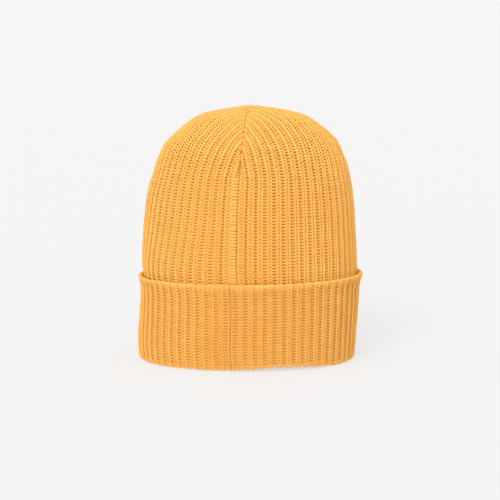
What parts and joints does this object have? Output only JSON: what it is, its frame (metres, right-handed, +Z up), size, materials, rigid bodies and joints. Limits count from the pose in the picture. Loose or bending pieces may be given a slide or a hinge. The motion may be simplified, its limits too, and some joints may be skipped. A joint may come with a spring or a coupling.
{
  "type": "fisherman beanie",
  "caption": "Rib-knit beanie with a deep turned-up cuff, a dome closed by darts and a back seam, standing on its cuff and open below for a head.",
  "frame": {"origin": "on the surface that the hat rests on, below the middle of its box", "axes": "+Z up to the top of the crown, +X across the wide way of the hat, -Y towards the back, where the seam is"},
  "size_m": [0.1834, 0.1494, 0.2061],
  "materials": {
    "crown_knit": "matt rib knit",
    "cuff_knit": "matt rib knit"
  },
  "bodies": {
    "root": {"crown": "crown_knit", "cuff": "cuff_knit"}
  },
  "joints": []
}
